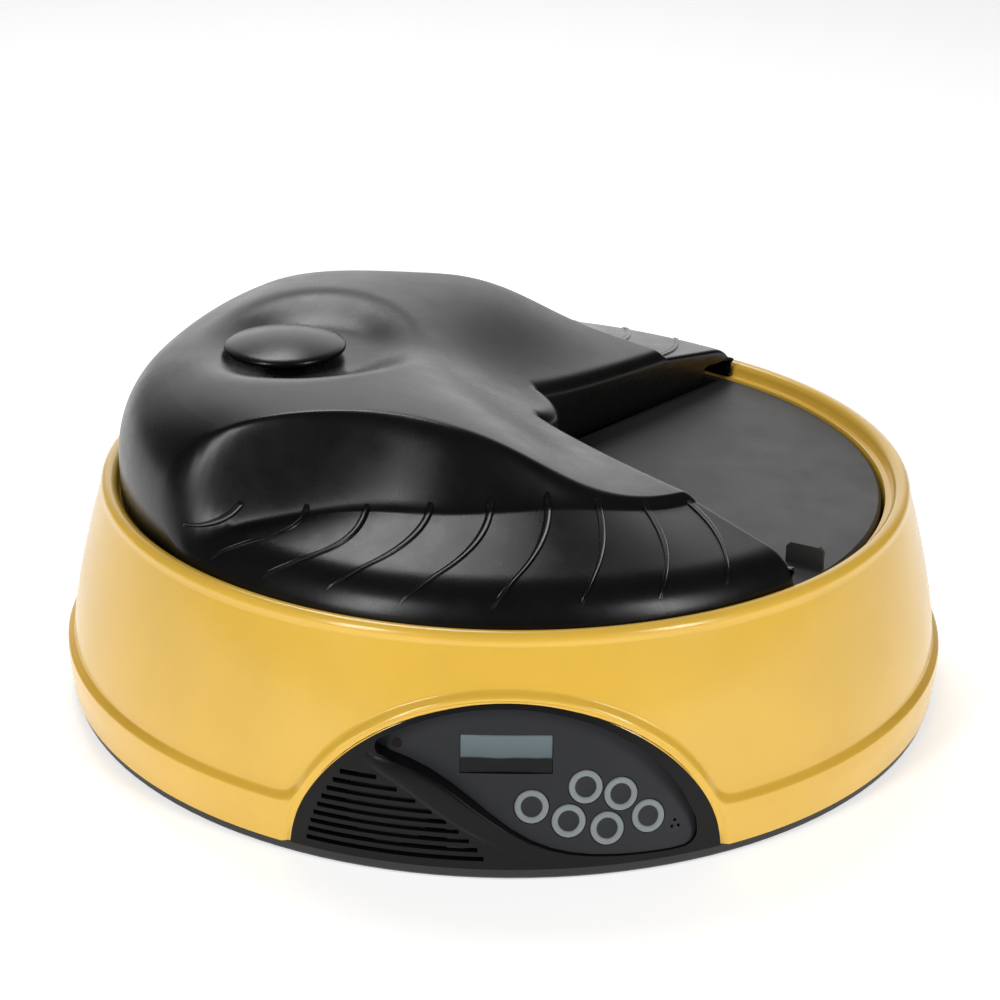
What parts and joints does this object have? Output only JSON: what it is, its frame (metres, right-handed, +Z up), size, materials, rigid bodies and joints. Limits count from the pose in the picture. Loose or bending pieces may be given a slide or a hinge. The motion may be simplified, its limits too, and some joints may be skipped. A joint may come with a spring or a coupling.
{
  "type": "automatic pet feeder",
  "caption": "Round tabletop feeder: a geared tray of food bowls turns under a domed lid with one serving opening; sloped control panel with display, speaker slots and push buttons.",
  "frame": {"origin": "middle of the footprint, on the floor under the feet", "axes": "+Z up; -Y towards the control panel; +X towards the serving opening"},
  "size_m": [0.3224, 0.321, 0.1279],
  "materials": {
    "yellow_shell": "glossy moulded yellow",
    "black_base": "fine matt texture",
    "foot_rubber": "matt",
    "zinc_screw": "zinc plated",
    "grey_tray": "matt dark grey",
    "black_lid": "satin black",
    "panel_black": "satin black",
    "label_film": "matt film",
    "clear_window": "clear",
    "lcd_glass": "grey display glass",
    "lamp_lens": "dark red lens",
    "button_grey": "grey ring, dark middle",
    "circuit_board": "solder mask",
    "switch_black": "matt",
    "can_metal": "plated",
    "speaker_black": "paper cone and steel frame",
    "cell_wrap": "printed sleeve with no lettering",
    "contact_nickel": "nickel plated",
    "frame_plastic": "matt",
    "pin_steel": "ground",
    "pinion_brass": "turned",
    "gear_white": "natural acetal"
  },
  "bodies": {
    "housing": {"upper_housing": "yellow_shell", "base_pan": "black_base", "rubber_feet": "foot_rubber", "case_screws": "zinc_screw", "panel_bezel": "panel_black", "panel_label": "label_film", "lcd_window": "clear_window", "lcd_module": "lcd_glass", "battery_lamp": "lamp_lens", "main_board": "circuit_board", "key_switches": "switch_black", "microphone": "can_metal", "speaker": "speaker_black", "battery_cells": "cell_wrap", "battery_contacts": "contact_nickel", "gear_plate": "frame_plastic", "gear_screws": "zinc_screw", "gear_pins": "pin_steel", "drive_motor": "can_metal", "sensor_board": "circuit_board", "spindle_bush": "gear_white"},
    "turntable": {"food_tray": "grey_tray", "drive_spindle": "pin_steel", "output_gear": "gear_white", "index_magnets": "contact_nickel"},
    "lid_assembly": {"lid": "black_lid", "lid_knob": "black_lid", "knob_screw": "zinc_screw"},
    "battery_hatch": {"battery_door": "black_base"},
    "second_wheel": {"second_gear": "gear_white"},
    "first_wheel": {"first_gear": "gear_white"},
    "motor_shaft": {"motor_pinion": "pinion_brass"},
    "button_1": {"button_1": "button_grey"},
    "button_2": {"button_2": "button_grey"},
    "button_3": {"button_3": "button_grey"},
    "button_4": {"button_4": "button_grey"},
    "button_5": {"button_5": "button_grey"},
    "button_6": {"button_6": "button_grey"}
  },
  "joints": [
    {"name": "tray_turn", "type": "hinge", "parent": "housing", "child": "turntable", "pos_m": [0, 0, 0.03], "axis": [0, 0, 1], "continuous": true},
    {"name": "second_gear_spin", "type": "hinge", "parent": "housing", "child": "second_wheel", "pos_m": [0.018, 0.03118, 0.0245], "axis": [0, 0, 1], "continuous": true},
    {"name": "first_gear_spin", "type": "hinge", "parent": "housing", "child": "first_wheel", "pos_m": [0.04398, 0.04618, 0.0215], "axis": [0, 0, 1], "continuous": true},
    {"name": "motor_spin", "type": "hinge", "parent": "housing", "child": "motor_shaft", "pos_m": [0.06996, 0.03118, 0.0195], "axis": [0, 0, 1], "continuous": true},
    {"name": "lid_lift", "type": "slide", "parent": "housing", "child": "lid_assembly", "axis": [0, 0, 1], "range_m": [0, 0.12]},
    {"name": "battery_door_slide", "type": "slide", "parent": "housing", "child": "battery_hatch", "axis": [1, 0, 0], "range_m": [0, 0.01]},
    {"name": "button_1_press", "type": "slide", "parent": "housing", "child": "button_1", "axis": [-0.0491, 0.9691, -0.2419], "range_m": [0, 0.0006], "stiffness_N_per_m": 900, "springref_m": -0.0004},
    {"name": "button_2_press", "type": "slide", "parent": "housing", "child": "button_2", "axis": [-0.1216, 0.9626, -0.2419], "range_m": [0, 0.0006], "stiffness_N_per_m": 900, "springref_m": -0.0004},
    {"name": "button_3_press", "type": "slide", "parent": "housing", "child": "button_3", "axis": [-0.1968, 0.9501, -0.2419], "range_m": [0, 0.0006], "stiffness_N_per_m": 900, "springref_m": -0.0004},
    {"name": "button_4_press", "type": "slide", "parent": "housing", "child": "button_4", "axis": [-0.1568, 0.9575, -0.2419], "range_m": [0, 0.0006], "stiffness_N_per_m": 900, "springref_m": -0.0004},
    {"name": "button_5_press", "type": "slide", "parent": "housing", "child": "button_5", "axis": [-0.2265, 0.9435, -0.2419], "range_m": [0, 0.0006], "stiffness_N_per_m": 900, "springref_m": -0.0004},
    {"name": "button_6_press", "type": "slide", "parent": "housing", "child": "button_6", "axis": [-0.2788, 0.9294, -0.2419], "range_m": [0, 0.0006], "stiffness_N_per_m": 900, "springref_m": -0.0004}
  ],
  "couplings": [
    {"joint": "second_gear_spin", "follows": "tray_turn", "ratio": -5},
    {"joint": "first_gear_spin", "follows": "tray_turn", "ratio": 20},
    {"joint": "motor_spin", "follows": "tray_turn", "ratio": -80}
  ]
}
